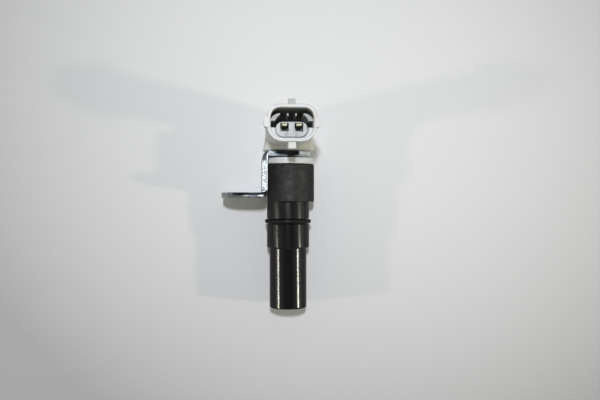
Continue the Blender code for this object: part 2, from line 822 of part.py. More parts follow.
def dimple(name, x):
    """The small round mark under a window."""
    centre = PEDESTAL_CENTRE - PEDESTAL_HEIGHT / 2 + DIMPLE_ABOVE_EDGE
    circle = arc((x, centre), DIMPLE_DIAMETER / 2, 0, 330, 11)
    return extruded(f"dimple_{name}", circle, PEDESTAL_FACE - DIMPLE_DEPTH, PEDESTAL_FACE + EXTRA, "XZ")


def neck_flat(side):
    """What is taken off one side of the neck, so that the fork can slide over it."""
    near = side * NECK_FLATS / 2
    far = side * COLLAR_DIAMETER
    return box(
        f"neck_flat_{side}",
        (-COLLAR_DIAMETER, min(near, far), RING_TOP),
        (COLLAR_DIAMETER, max(near, far), NECK_TOP + EXTRA / 2),
    )


def make_head():
    """The white moulding: spigot, ring and neck below, hood and plug socket above."""
    shape = turned("neck_and_spigot", head_profile())
    ring_flat = box(
        "ring_flat",
        (-COLLAR_DIAMETER, -COLLAR_DIAMETER, RING_BOTTOM - SEAT_GAP),
        (-FLAT_REACH, COLLAR_DIAMETER, RING_TOP + SEAT_GAP),
    )
    cut(shape, ring_flat, neck_flat(1), neck_flat(-1))
    join(shape, hood(), socket_body(), latch_ramp(), side_lugs(), guide_rib())
    cut(shape, pocket_cutter(), *contact_cutters())
    return make_part(shape, "connector_head", material("white_plastic", (0.72, 0.73, 0.72), 0.45))


def make_contacts():
    """The two contacts: flat strips from the pedestal's windows down into the probe."""
    finish = material("tinned_bronze", (0.75, 0.66, 0.42), 0.25, 1.0)
    for name, x in contact_places().items():
        outline = folded_outline(contact_path(0, 0), CONTACT_THICKNESS, CONTACT_BEND)
        half = CONTACT_WIDTH / 2
        shape = extruded(f"contact_{name}", outline, x - half, x + half, "YZ")
        make_part(shape, f"terminal_{name}", finish)


def make_pole_piece():
    """The soft iron pin that leads the magnet's field to the tip."""
    radius = CORE_DIAMETER / 2
    top = CORE_BOTTOM + CORE_LENGTH
    profile = [
        (0, top),
        (radius - CORE_EDGE, top),
        (radius, top - CORE_EDGE),
        (radius, CORE_BOTTOM + CORE_EDGE),
        (radius - CORE_EDGE, CORE_BOTTOM),
        (0, CORE_BOTTOM),
    ]
    shape = turned("pole_shape", profile, steps=HIDDEN_STEPS)
    return make_part(shape, "pole_piece", material("soft_iron", (0.35, 0.35, 0.36), 0.4, 1.0))


def make_magnet():
    """The round magnet behind the pole piece."""
    radius = MAGNET_DIAMETER / 2
    top = MAGNET_BOTTOM + MAGNET_LENGTH
    profile = [(0, top), (radius, top), (radius, MAGNET_BOTTOM), (0, MAGNET_BOTTOM)]
    shape = turned("magnet_shape", profile, steps=HIDDEN_STEPS)
    return make_part(shape, "magnet", material("nickel_plate", (0.55, 0.54, 0.5), 0.25, 1.0))


def lead_notches(name, bottom, top):
    """The notches at both sides of a flange that let the winding's two ends pass."""
    notches = []
    for side, x in contact_places().items():
        reach = math.copysign(COIL_BORE, x)
        inner = math.copysign(MAGNET_DIAMETER / 2 + STRIP_GAP, x)
        notches.append(
            box(
                f"{name}_notch_{side}",
                (min(inner, reach), -FLANGE_NOTCH / 2, bottom - SEAT_GAP / 2),
                (max(inner, reach), FLANGE_NOTCH / 2, top + SEAT_GAP / 2),
            )
        )
    return notches


def make_yoke_washer():
    """The steel washer that closes the magnetic path behind the magnet."""
    radius = BOBBIN_RADIUS
    top = YOKE_BOTTOM + YOKE_THICKNESS
    profile = [(0, top), (radius, top), (radius, YOKE_BOTTOM), (0, YOKE_BOTTOM)]
    shape = turned("yoke_shape", profile, steps=HIDDEN_STEPS)
    cut(shape, *lead_notches("yoke", YOKE_BOTTOM, top))
    return make_part(shape, "yoke_washer", material("steel", (0.4, 0.4, 0.42), 0.35, 1.0))


def make_bobbin():
    """The bobbin on the pole piece, with its two flanges and the notches for the winding's ends."""
    flange = BOBBIN_RADIUS
    profile = [
        (BOBBIN_BORE, BOBBIN_TOP),
        (flange, BOBBIN_TOP),
        (flange, BOBBIN_TOP - BOBBIN_FLANGE),
        (BOBBIN_CORE, BOBBIN_TOP - BOBBIN_FLANGE),
        (BOBBIN_CORE, BOBBIN_BOTTOM + BOBBIN_FLANGE),
        (flange, BOBBIN_BOTTOM + BOBBIN_FLANGE),
        (flange, BOBBIN_BOTTOM),
        (BOBBIN_BORE, BOBBIN_BOTTOM),
    ]
    shape = turned("bobbin_shape", profile, closed=True, steps=HIDDEN_STEPS)
    cut(shape, *lead_notches("bobbin", BOBBIN_TOP - BOBBIN_FLANGE, BOBBIN_TOP))
    return make_part(shape, "coil_bobbin", material("bobbin_plastic", (0.06, 0.06, 0.065), 0.5))


def sleeve(name, inner, outer, bottom, top):
    """A plain turned tube."""
    profile = [(inner, top), (outer, top), (outer, bottom), (inner, bottom)]
    return turned(name, profile, closed=True, steps=HIDDEN_STEPS)


def make_winding():
    """The enamelled copper winding, and the tape over it."""
    bottom = BOBBIN_BOTTOM + BOBBIN_FLANGE + SEAT_GAP
    top = BOBBIN_TOP - BOBBIN_FLANGE - SEAT_GAP
    outer = WINDING_DIAMETER / 2
    winding = sleeve("winding_shape", BOBBIN_CORE + STRIP_GAP, outer, bottom, top)
    make_part(winding, "coil_winding", material("enamelled_copper", (0.45, 0.17, 0.06), 0.35, 1.0))
    inner = outer + STRIP_GAP
    tape = sleeve("tape_shape", inner, inner + TAPE_THICKNESS, bottom, top)
    make_part(tape, "winding_tape", material("amber_tape", (0.5, 0.24, 0.04), 0.4))


def make_lead(name, x):
    """One end of the winding: up past the magnet and the washer to its contact."""
    side = math.copysign(1, x)
    outer = side * (MAGNET_DIAMETER / 2 + STRIP_GAP + LEAD_DIAMETER)
    contact_side = x + side * (CONTACT_WIDTH / 2 + STRIP_GAP + LEAD_DIAMETER / 2)
    start = BOBBIN_TOP - BOBBIN_FLANGE - SEAT_GAP + STRIP_GAP + LEAD_DIAMETER / 2
    bend = YOKE_BOTTOM + YOKE_THICKNESS + LEAD_DIAMETER
    route = [
        (outer, 0, start - STRIP_GAP / 2),
        (outer, 0, bend),
        (contact_side, 0, bend + 2 * LEAD_DIAMETER),
        (contact_side, 0, CONTACT_END + CONTACT_WIDTH),
    ]
    curve = bpy.data.curves.new(f"lead_{name}", "CURVE")
    curve.dimensions = "3D"
    curve.bevel_depth = LEAD_DIAMETER / 2
    curve.bevel_resolution = 2
    curve.use_fill_caps = True
    spline = curve.splines.new("POLY")
    spline.points.add(len(route) - 1)
    for point, place in zip(spline.points, route):
        point.co = (*place, 1)
    guide = bpy.data.objects.new(f"lead_guide_{name}", curve)
    CUTTERS.objects.link(guide)
    make_part(curve_to_mesh(guide), f"lead_{name}", bpy.data.materials["enamelled_copper"])


def make_potting():
    """The potting between the coil and the spigot, set round the contacts and the leads."""
    radius = COIL_BORE / 2 - STRIP_GAP
    profile = [(0, POTTING_TOP), (radius, POTTING_TOP), (radius, POTTING_BOTTOM), (0, POTTING_BOTTOM)]
    shape = turned("potting_shape", profile, steps=HIDDEN_STEPS)
    depth = CONTACT_THICKNESS / 2 + STRIP_GAP
    for name, x in contact_places().items():
        inner = abs(x) - CONTACT_WIDTH / 2 - STRIP_GAP
        outer = abs(x) + CONTACT_WIDTH / 2 + LEAD_DIAMETER + 2 * STRIP_GAP
        ends = sorted((math.copysign(inner, x), math.copysign(outer, x)))
        slot = box(
            f"potting_slot_{name}",
            (ends[0], -depth, POTTING_BOTTOM - EXTRA),
            (ends[1], depth, POTTING_TOP + EXTRA),
        )
        cut(shape, slot)
    return make_part(shape, "potting_plug", material("potting", (0.05, 0.035, 0.025), 0.3))


make_housing()
make_sealing_ring()
make_bracket()
make_head()
make_contacts()
make_pole_piece()
make_magnet()
make_yoke_washer()
make_bobbin()
make_winding()
for lead_name, lead_x in contact_places().items():
    make_lead(lead_name, lead_x)
make_potting()
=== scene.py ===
"""Pulse sensor: a coil pick-up that counts the teeth of a wheel past its tip, laid on white card."""

import math

import bpy
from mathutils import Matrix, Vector


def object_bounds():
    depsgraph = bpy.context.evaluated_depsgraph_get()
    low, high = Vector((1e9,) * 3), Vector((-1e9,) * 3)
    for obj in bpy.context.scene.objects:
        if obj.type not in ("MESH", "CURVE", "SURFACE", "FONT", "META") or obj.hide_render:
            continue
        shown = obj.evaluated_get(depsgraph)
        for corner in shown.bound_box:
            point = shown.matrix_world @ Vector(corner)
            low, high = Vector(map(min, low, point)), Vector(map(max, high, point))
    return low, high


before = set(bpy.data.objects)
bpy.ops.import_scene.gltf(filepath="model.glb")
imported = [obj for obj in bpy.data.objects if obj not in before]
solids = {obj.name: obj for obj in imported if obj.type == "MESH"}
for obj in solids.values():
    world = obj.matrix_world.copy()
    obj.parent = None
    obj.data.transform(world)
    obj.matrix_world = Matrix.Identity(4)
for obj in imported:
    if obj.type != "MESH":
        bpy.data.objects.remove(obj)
cad_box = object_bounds()


# The housing is one black glass-filled moulding. The mould leaves the probe glossy and the barrel
# a little less so, while the collar that the fitter handles has a matt, slightly dusty skin.

PROBE_END = 0.0253
BARREL_END = 0.0447
BLACK_NYLON = (0.0050, 0.0050, 0.0055, 1.0)
WORN_NYLON = (0.014, 0.012, 0.013, 1.0)
DUST = (0.20, 0.20, 0.19, 1.0)


class Value:
    """A shader socket that can be reckoned with: 1 - mask adds the Math node that it needs."""

    def __init__(self, tree, socket):
        self.tree = tree
        self.socket = socket

    def node(self, kind, settings, sockets, output=0):
        """Adds any node: its settings are made first, then the values or links of its sockets."""
        made = self.tree.nodes.new(kind)
        for name, setting in settings.items():
            if name == "stops":
                elements = made.color_ramp.elements
                while len(elements) < len(setting):
                    elements.new(1.0)
                for element, (position, colour) in zip(elements, setting):
                    element.position = position
                    element.color = colour
            else:
                setattr(made, name, setting)
        for name, value in sockets.items():
            if isinstance(value, Value):
                self.tree.links.new(value.socket, made.inputs[name])
            else:
                made.inputs[name].default_value = value
        return Value(self.tree, made.outputs[output])

    def maths(self, operation, first, second):
        return self.node("ShaderNodeMath", {"operation": operation}, {0: first, 1: second})

    def __add__(self, other):
        return self.maths("ADD", self, other)

    def __sub__(self, other):
        return self.maths("SUBTRACT", self, other)

    def __rsub__(self, other):
        return self.maths("SUBTRACT", other, self)

    def __mul__(self, other):
        return self.maths("MULTIPLY", self, other)

    __radd__ = __add__
    __rmul__ = __mul__

    def __gt__(self, other):
        return self.maths("GREATER_THAN", self, other)

    def axis(self, name):
        """One coordinate of a place."""
        return self.node("ShaderNodeSeparateXYZ", {}, {0: self}, name)

    def stretched(self, scale):
        """The same place with each axis scaled, so that a pattern runs out along one of them."""
        return self.node("ShaderNodeVectorMath", {"operation": "MULTIPLY"}, {0: self, 1: scale})

    def noise(self, scale, detail=2.0, roughness=0.5):
        """Cloudy variation, with scale in clouds per metre."""
        sockets = {"Vector": self, "Scale": scale, "Detail": detail, "Roughness": roughness}
        return self.node("ShaderNodeTexNoise", {}, sockets, "Fac")

    def spots(self, scale, output="Distance"):
        """Scattered points, with scale in points per metre."""
        return self.node("ShaderNodeTexVoronoi", {}, {"Vector": self, "Scale": scale}, output)

    def between(self, low, high, start=0.0, end=1.0):
        """A smooth step from start to end as the value goes from low to high."""
        sockets = {0: self, 1: low, 2: high, 3: start, 4: end}
        return self.node("ShaderNodeMapRange", {"interpolation_type": "SMOOTHSTEP"}, sockets)

    def blend(self, first, second):
        """A colour from first to second as the value goes from 0 to 1."""
        return self.node("ShaderNodeMix", {"data_type": "RGBA"}, {0: self, 6: first, 7: second}, 2)

    def relief(self, height, edge=0.0002):
        """The normal over a height in metres, with the piece's edges rounded to a radius."""
        rounded = self.node("ShaderNodeBevel", {"samples": 4}, {"Radius": edge})
        sockets = {"Strength": 1.0, "Distance": 1.0, "Height": height, "Normal": rounded}
        return self.node("ShaderNodeBump", {}, sockets)


def new_finish(name):
    """A material, and the place on the piece that its patterns are drawn from."""
    made = bpy.data.materials.new(name)
    made.use_nodes = True
    tree = made.node_tree
    place = Value(tree, tree.nodes.new("ShaderNodeTexCoord").outputs["Object"])
    return made, place


def dress(finish, surface, *names):
    """Sets what the shader shows and puts the material on the named solids."""
    shader = finish.node_tree.nodes["Principled BSDF"]
    for name, value in surface.items():
        if isinstance(value, Value):
            finish.node_tree.links.new(value.socket, shader.inputs[name])
        else:
            shader.inputs[name].default_value = value
    for name in names:
        solid = solids[name]
        solid.material_slots[0].material = finish
        draw_smooth(solid)


def draw_smooth(solid):
    """Shades a faceted solid as the smooth form that it stands for, and keeps its real edges crisp."""
    mesh = solid.data
    if "custom_normal" in mesh.attributes:
        mesh.attributes.remove(mesh.attributes["custom_normal"])
    weld = solid.modifiers.new("weld", "WELD")
    weld.merge_threshold = 0.000002
    smoothing = solid.modifiers.new("smooth by angle", "NODES")
    smoothing.node_group = SMOOTHING
    weighted = solid.modifiers.new("weighted normals", "WEIGHTED_NORMAL")
    weighted.keep_sharp = True


def smooth_by_angle(angle):
    """A node group that shades smooth across every edge that turns less than angle."""
    group = bpy.data.node_groups.new("smooth_by_angle", "GeometryNodeTree")
    group.interface.new_socket("Geometry", in_out="INPUT", socket_type="NodeSocketGeometry")
    group.interface.new_socket("Geometry", in_out="OUTPUT", socket_type="NodeSocketGeometry")
    start = group.nodes.new("NodeGroupInput")
    end = group.nodes.new("NodeGroupOutput")
    turn = group.nodes.new("GeometryNodeInputMeshEdgeAngle")
    gentle = group.nodes.new("FunctionNodeCompare")
    gentle.operation = "LESS_THAN"
    gentle.inputs["B"].default_value = angle
    faces = group.nodes.new("GeometryNodeSetShadeSmooth")
    edges = group.nodes.new("GeometryNodeSetShadeSmooth")
    edges.domain = "EDGE"
    group.links.new(turn.outputs["Unsigned Angle"], gentle.inputs["A"])
    group.links.new(start.outputs["Geometry"], faces.inputs["Geometry"])
    group.links.new(faces.outputs["Geometry"], edges.inputs["Geometry"])
    group.links.new(gentle.outputs["Result"], edges.inputs["Shade Smooth"])
    group.links.new(edges.outputs["Geometry"], end.inputs["Geometry"])
    return group


SMOOTHING = smooth_by_angle(math.radians(32))

black, place = new_finish("black_nylon")
along = place.axis("Y")
collar = along > BARREL_END
probe = 1 - (along > PROBE_END)
clouds = place.noise(260.0, 5.0, 0.66)
grain = place.noise(9000.0, 2.0)
rings = place.stretched((260.0, 2600.0, 260.0)).noise(1.0, 2.0)
streaks = place.stretched((1000.0, 110.0, 1000.0)).noise(1.0, 4.0, 0.6)
specks = place.spots(900.0).between(0.02, 0.13, 1.0, 0.0) * place.noise(420.0).between(0.50, 0.62)
dust = specks * (0.2 + collar * 0.6) + streaks.between(0.60, 0.78) * collar * 0.10
wear_and_left_shade = clouds.between(0.38, 0.66) * (0.35 + collar * 0.65) * (1 - probe * 0.8)
# Painted shade: on the left side the wear's lighter colour fades to a quarter, so that side is painted darker.
wear_and_left_shade = wear_and_left_shade * place.axis("X").between(-0.0085, -0.0030, 0.25, 1.0)
skin = wear_and_left_shade.blend(BLACK_NYLON, WORN_NYLON)
lower = 1 - (along > 0.0365)
shaded = collar * place.axis("X").between(-0.0045, 0.0010, 1.0, 0.0)
patches = place.noise(420.0, 5.0, 0.7).between(0.35, 0.65)
roughness = 0.24 + collar * (0.42 - patches * 0.20) + shaded * 0.22 - lower * 0.06 + dust * 0.3
height = grain * (0.0000015 + collar * 0.000012) + rings * (0.000006 + lower * 0.000004 + probe * 0.000014)
height = height + clouds * collar * 0.00009 + probe * (along * along * 1.45 - along * 0.034)
dress(
    black,
    {
        "Base Color": dust.blend(skin, DUST),
        "Roughness": roughness,
        "Specular IOR Level": 0.50,
        "Normal": place.relief(height, 0.00025),
    },
    "housing",
)


# The sealing ring is a soft black rubber cord, moulded as one ring and stretched into the barrel's
# groove. Its skin is dull with a bloom of talc, and a faint flash line runs round it.

RUBBER = (0.004, 0.004, 0.0045, 1.0)
TALC = (0.05, 0.045, 0.04, 1.0)

rubber, place = new_finish("black_rubber")
bloom = place.noise(900.0, 4.0).between(0.50, 0.80)
pores = place.noise(6500.0, 2.0)
middle = place.axis("Y") - 0.0365
flash = (middle * middle).between(0.0, 0.0000000064, 1.0, 0.0)
dress(
    rubber,
    {
        "Base Color": (bloom * 0.35).blend(RUBBER, TALC),
        "Roughness": 0.36 + bloom * 0.2,
        "Specular IOR Level": 0.30,
        "Normal": place.relief(pores * 0.000008 + flash * 0.00003),
    },
    "sealing_ring",
)


# The bracket is steel sheet, cut and folded in a press and then zinc plated. The plating is bright
# and bluish on the rolled faces and crinkled where the press tool sheared and tore the edge.

ZINC = (0.80, 0.86, 0.89, 1.0)
BLUE_PASSIVATE = (0.60, 0.68, 0.72, 1.0)
# The torn steel colour also paints shade on the sheet's front edges.
TORN_STEEL_AND_SHADE = (0.045, 0.055, 0.06, 1.0)
SHEARED = (0.30, 0.33, 0.34, 1.0)
# The burr colour also paints highlights and glints on the sheet's edges and the arm.
BURR_AND_HIGHLIGHT = (0.95, 0.97, 0.97, 1.0)
UPPER_BEND = (-0.0076, 0.0634)
UPPER_SEAM = 0.00145
LOWER_BEND = (-0.0115, 0.0510)
LOWER_SEAM = 0.0024
SEAM_WIDTH = 0.00022

plating, place = new_finish("zinc_plate")
facing = plating.node_tree.nodes.new("ShaderNodeNewGeometry").outputs["True Normal"]
normal = Value(plating.node_tree, facing).axis("Z")
front = (normal * normal).between(0.35, 0.75)
right = place.axis("X")
along = place.axis("Y")


def seam(bend, inward, radius):
    """A narrow line at that distance round a bend of the sheet, running on straight at both ends."""
    sideways = right.maths(inward[0], right - bend[0], 0.0)
    upwards = along.maths(inward[1], along - bend[1], 0.0)
    spread = sideways * sideways + upwards * upwards
    off = spread.maths("SQRT", spread, 0.0) - radius
    return (off * off).between(0.0, SEAM_WIDTH * SEAM_WIDTH, 1.0, 0.0)


on_web = along.between(0.0488, 0.0498) * (1 - along.between(0.0612, 0.0626)) * (1 - (right > -0.0080))
on_arm = (right > 0.0042) * (1 - (right > 0.0094)) * (along > 0.0630)
on_foot = 1 - (along > 0.0487)
plate_front = front * (along > 0.0630) * (1 - (right > 0.0042))
# Painted highlight: a thin line round each bend is kept bright and carries glints.
upper = seam(UPPER_BEND, ("MINIMUM", "MAXIMUM"), UPPER_SEAM) * (along > 0.0510) * (1 - (right > -0.0058))
lower = seam(LOWER_BEND, ("MAXIMUM", "MINIMUM"), LOWER_SEAM) * (1 - (along > 0.0510)) * (right > -0.0112)
line = upper.maths("MAXIMUM", upper, lower)
crumbs = place.noise(1700.0, 4.0, 0.7)
grit = place.noise(3800.0, 2.0, 0.5)
stain = place.noise(330.0, 4.0, 0.6).between(0.35, 0.75)
bend = front * along.between(0.0608, 0.0622) * (1 - right.between(-0.0090, -0.0078))
lower_edge = on_foot * along.between(0.0469, 0.0475, 1.0, 0.0)
foot_end = on_foot * (1 - (right > -0.0262))
burr_and_glints = lower_edge * grit.between(0.56, 0.62)
burr_and_glints = burr_and_glints.maths("MAXIMUM", burr_and_glints, line * grit.between(0.36, 0.46))
lower_rim = on_foot * (1 - front) * (normal > 0.12)
painted_glint = lower_rim * grit.between(0.50, 0.56)
under_arm = on_arm * along.between(0.0639, 0.0643, 1.0, 0.0)
torn = crumbs.between(0.48, 0.56) * on_web
rough_cut = on_web.maths("MAXIMUM", on_web, on_arm * crumbs.between(0.40, 0.50))
rough_cut = rough_cut.maths("MAXIMUM", rough_cut, foot_end)
rough_cut = rough_cut.maths("MAXIMUM", rough_cut, burr_and_glints) * front
rolled = place.stretched((6000.0, 250.0, 6000.0)).noise(1.0, 3.0)
sheet = (stain * 0.8).blend(ZINC, BLUE_PASSIVATE)
cut = rough_cut.blend(SHEARED, ZINC)
metal = front.blend(sheet, cut)
# Painted shade: besides the real pits of the torn web, the plate's front, the foot's front, the upper bend, the
# foot's lower chamfer and a strip under the arm are coloured almost black where shade falls on the sheet; the
# foot's rounded end is left bright.
pits_and_painted_shade = front * torn * 0.75 + plate_front * (1 - line) * 0.8 + front * on_foot * (1 - burr_and_glints) * (1 - foot_end) * 0.94
pits_and_painted_shade = pits_and_painted_shade.maths("MAXIMUM", pits_and_painted_shade, bend * (1 - line) * 0.95)
pits_and_painted_shade = pits_and_painted_shade.maths("MAXIMUM", pits_and_painted_shade, lower_rim * (1 - painted_glint) * 0.75)
pits_and_painted_shade = pits_and_painted_shade.maths("MAXIMUM", pits_and_painted_shade, front * under_arm * (1 - crumbs.between(0.50, 0.58)) * 0.55)
metal = pits_and_painted_shade.blend(metal, TORN_STEEL_AND_SHADE)
# Painted highlight: the burrs along the foot's lower edge and round the bends are real, but their near white
# colour paints their glints; the glints on the foot's lower chamfer and the mottled light on the arm's front are
# painted too.
bright = front * (burr_and_glints + on_arm * (1 - under_arm) * crumbs.between(0.36, 0.44))
metal = bright.maths("MAXIMUM", bright, painted_glint).blend(metal, BURR_AND_HIGHLIGHT)
roughness = 0.12 + stain * 0.06 + rough_cut * 0.28 + bend * (1 - line) * 0.35
roughness = roughness + plate_front * 0.1 + painted_glint * 0.38
height = crumbs * (0.000004 + (on_web + on_arm * 2.5) * front * 0.00022) + burr_and_glints * 0.00005 + rolled * 0.000002
dress(
    plating,
    {
        "Base Color": metal,
        "Metallic": 1.0,
        "Roughness": roughness,
        "Normal": place.relief(height, 0.00020),
    },
    "mounting_bracket",
)


# The connector head is one white moulding: spigot, neck, hood and plug socket. The plastic is a
# filled, slightly milky nylon with a fine satin skin from the mould and a little handling dirt.

WHITE_NYLON = (0.69, 0.71, 0.725, 1.0)
CREAM_NYLON = (0.67, 0.67, 0.64, 1.0)
HANDLED = (0.42, 0.40, 0.34, 1.0)
SHADED_NYLON = (0.34, 0.35, 0.33, 1.0)
# This lighter cream paints the light that falls on the hood's right side.
LIT_NYLON = (0.93, 0.93, 0.84, 1.0)
POCKET_CENTRE = 0.07485
POCKET_STRAIGHT = (0.00415, 0.0017)
POCKET_CORNER = 0.0048
ARC_INSIDE = 0.0032

white, place = new_finish("white_nylon")
clouds = place.noise(160.0, 3.0).between(0.35, 0.7)
satin = place.noise(7000.0, 2.0)
sink = place.noise(220.0, 1.0)
grime = place.noise(700.0, 5.0, 0.65).between(0.60, 0.80)
specks = place.spots(700.0).between(0.02, 0.07, 1.0, 0.0) * place.noise(500.0).between(0.55, 0.62)
body = clouds.blend(WHITE_NYLON, CREAM_NYLON)
right = place.axis("X")
height = place.axis("Y")
depth = place.axis("Z")
facing = white.node_tree.nodes.new("ShaderNodeNewGeometry").outputs["Normal"]
underside = Value(white.node_tree, facing).axis("Y").between(-0.6, -0.2, 1.0, 0.0)
sideways = right.maths("ABSOLUTE", right, 0.0) - POCKET_STRAIGHT[0]
upwards = height - POCKET_CENTRE
upwards = upwards.maths("ABSOLUTE", upwards, 0.0) - POCKET_STRAIGHT[1]
sideways = sideways.maths("MAXIMUM", sideways, 0.0)
upwards = upwards.maths("MAXIMUM", upwards, 0.0)
spread = sideways * sideways + upwards * upwards
outside = spread > POCKET_CORNER * POCKET_CORNER
pocket = (1 - outside) * (depth > 0.0105)
# Painted shade: inside the socket, the deep walls, the roof, the keying ring with its teeth and arcs, and the
# pedestal with a ring round each dimple are coloured grey where shade falls.
roof = underside * (height > 0.0768) * depth.between(0.0298, 0.0312, 1.0, 0.0)
deep = depth.between(0.0215, 0.0264, 1.0, 0.0)
key_ring = height.between(0.0758, 0.0764) * (1 - (depth > 0.0282)) * 0.85
aside = right.maths("ABSOLUTE", right, 0.0) - 0.00195
teeth = (1 - (aside > 0.0015)) * (height > 0.0772) * (1 - (height > 0.0798)) * (depth > 0.0272) * 0.9
arc_inside = (depth > 0.0276) * (1 - (spread > ARC_INSIDE * ARC_INSIDE)) * (height > 0.0752) * 0.9
arc_end = (depth > 0.0276) * height.between(0.0778, 0.0785) * (1 - (right > 0.0)) * 0.5
below = height - 0.0705
dimple = (aside * aside + below * below).between(0.00000012, 0.00000040, 1.0, 0.0)
pedestal = (depth > 0.0255) * (1 - (depth > 0.0273)) * (0.30 + dimple * 0.35)
shade = deep.maths("MAXIMUM", deep, roof * 0.9)
shade = shade.maths("MAXIMUM", shade, key_ring)
shade = shade.maths("MAXIMUM", shade, teeth)
shade = shade.maths("MAXIMUM", shade, arc_inside)
shade = shade.maths("MAXIMUM", shade, arc_end * (1 - (depth > 0.0283)))
shade = shade.maths("MAXIMUM", shade, pedestal) * pocket
# Painted light: the hood's front just below the socket is coloured a lighter cream towards its right side.
hood = depth.between(0.0060, 0.0220, 1.0, 0.0) * height.between(0.0685, 0.0705, 1.0, 0.0)
hood = hood * (height > 0.0655) * right.between(-0.0030, 0.0060)
body = shade.blend(hood.blend(body, LIT_NYLON), SHADED_NYLON)
dress(
    white,
    {
        "Base Color": (grime * 0.10 + specks * 0.30).blend(body, HANDLED),
        "Roughness": 0.36 + satin * 0.10 + grime * 0.10,
        "Subsurface Weight": 0.35,
        "Subsurface Radius": (0.0030, 0.0028, 0.0021),
        "Subsurface Scale": 1.0,
        "Normal": place.relief(satin * 0.000005 + sink * 0.00004, 0.00025),
    },
    "connector_head",
)


# The two contacts are flat strips of bronze with a thin gold-coloured plating. They lie in windows
# of the socket's pedestal, where the plug's springs press on them, and run down into the probe.

GOLD_PLATE = (0.36, 0.33, 0.23, 1.0)
WIPED = (0.38, 0.365, 0.31, 1.0)

contact, place = new_finish("contact_plate")
wiped = place.stretched((5000.0, 5000.0, 200.0)).noise(1.0, 3.0)
tarnish = place.noise(1200.0, 3.0).between(0.4, 0.8)
dress(
    contact,
    {
        "Base Color": wiped.between(0.4, 0.7).blend(GOLD_PLATE, WIPED),
        "Metallic": 1.0,
        "Roughness": 0.50 + tarnish * 0.15,
        "Normal": place.relief(wiped * 0.000004, 0.00012),
    },
    "terminal_left",
    "terminal_right",
)


# The pole piece is a turned pin of soft iron. It stands on the tip's wall, inside the bobbin, and
# carries the magnet's field to the teeth that pass.

IRON = (0.30, 0.30, 0.31, 1.0)
DARK_IRON = (0.16, 0.15, 0.15, 1.0)

iron, place = new_finish("soft_iron")
turning = place.stretched((300.0, 9000.0, 300.0)).noise(1.0, 2.0)
rust = place.noise(700.0, 4.0).between(0.55, 0.75)
dress(
    iron,
    {
        "Base Color": (rust * 0.5).blend(IRON, DARK_IRON),
        "Metallic": 1.0,
        "Roughness": 0.32 + rust * 0.2,
        "Normal": place.relief(turning * 0.000008),
    },
    "pole_piece",
)


# The magnet is a pressed and sintered round block behind the pole piece, nickel plated against
# rust. The plating shows the fine orange-peel of the block under it.

NICKEL = (0.55, 0.53, 0.48, 1.0)
DULL_NICKEL = (0.42, 0.41, 0.38, 1.0)

nickel, place = new_finish("nickel_plate")
peel = place.noise(3500.0, 2.0)
haze = place.noise(500.0, 3.0).between(0.4, 0.7)
dress(
    nickel,
    {
        "Base Color": haze.blend(NICKEL, DULL_NICKEL),
        "Metallic": 1.0,
        "Roughness": 0.20 + haze * 0.15,
        "Normal": place.relief(peel * 0.000010),
    },
    "magnet",
)


# The yoke washer is a stamped steel disc on top of the magnet. Two notches in its edge let the
# ends of the winding pass.

STEEL = (0.38, 0.38, 0.40, 1.0)
OILED_STEEL = (0.24, 0.24, 0.25, 1.0)

steel, place = new_finish("washer_steel")
oil = place.noise(600.0, 3.0).between(0.4, 0.7)
brushed = place.stretched((8000.0, 400.0, 400.0)).noise(1.0, 3.0)
dress(
    steel,
    {
        "Base Color": oil.blend(STEEL, OILED_STEEL),
        "Metallic": 1.0,
        "Roughness": 0.28 + brushed * 0.12,
        "Normal": place.relief(brushed * 0.000004),
    },
    "yoke_washer",
)


# The bobbin is a thin black moulding with a flange at each end. The wire is wound on it before it
# goes into the housing.

BOBBIN_BLACK = (0.045, 0.045, 0.048, 1.0)
BOBBIN_GREY = (0.075, 0.075, 0.08, 1.0)

bobbin, place = new_finish("bobbin_plastic")
clouds = place.noise(500.0, 3.0)
grain = place.noise(6000.0, 2.0)
dress(
    bobbin,
    {
        "Base Color": clouds.blend(BOBBIN_BLACK, BOBBIN_GREY),
        "Roughness": 0.45 + grain * 0.12,
        "Normal": place.relief(grain * 0.000006),
    },
    "coil_bobbin",
)


# The winding is fine enamelled copper wire, laid turn beside turn. Its two ends are plain pieces
# of the same wire, led up past the magnet to the contacts.

WIRE_PITCH = 0.00025
ENAMEL = (0.42, 0.15, 0.05, 1.0)
DARK_ENAMEL = (0.26, 0.08, 0.03, 1.0)

copper, place = new_finish("enamelled_copper")
turn = place.axis("Y") * (2 * math.pi / WIRE_PITCH)
turns = turn.maths("SINE", turn, 0.0)
layer = place.noise(800.0, 3.0)
dress(
    copper,
    {
        "Base Color": layer.blend(ENAMEL, DARK_ENAMEL),
        "Metallic": 0.8,
        "Roughness": 0.25 + layer * 0.1,
        "Normal": place.relief(turns * 0.00002),
    },
    "coil_winding",
    "lead_left",
    "lead_right",
)


# The tape is one turn of amber film over the winding, which keeps the wire in place while the
# coil is pushed into the housing.

AMBER = (0.48, 0.22, 0.03, 1.0)
DEEP_AMBER = (0.36, 0.14, 0.02, 1.0)

tape, place = new_finish("amber_tape")
wrinkle = place.stretched((300.0, 1500.0, 300.0)).noise(1.0, 3.0)
dress(
    tape,
    {
        "Base Color": wrinkle.blend(AMBER, DEEP_AMBER),
        "Roughness": 0.22 + wrinkle * 0.15,
        "Normal": place.relief(wrinkle * 0.00003),
    },
    "winding_tape",
)


# The potting is a brown-black resin, poured over the magnet and set round the contacts and the
# ends of the winding. It has small bubbles and a slightly sunken surface.

RESIN = (0.045, 0.032, 0.022, 1.0)
RESIN_EDGE = (0.075, 0.052, 0.032, 1.0)

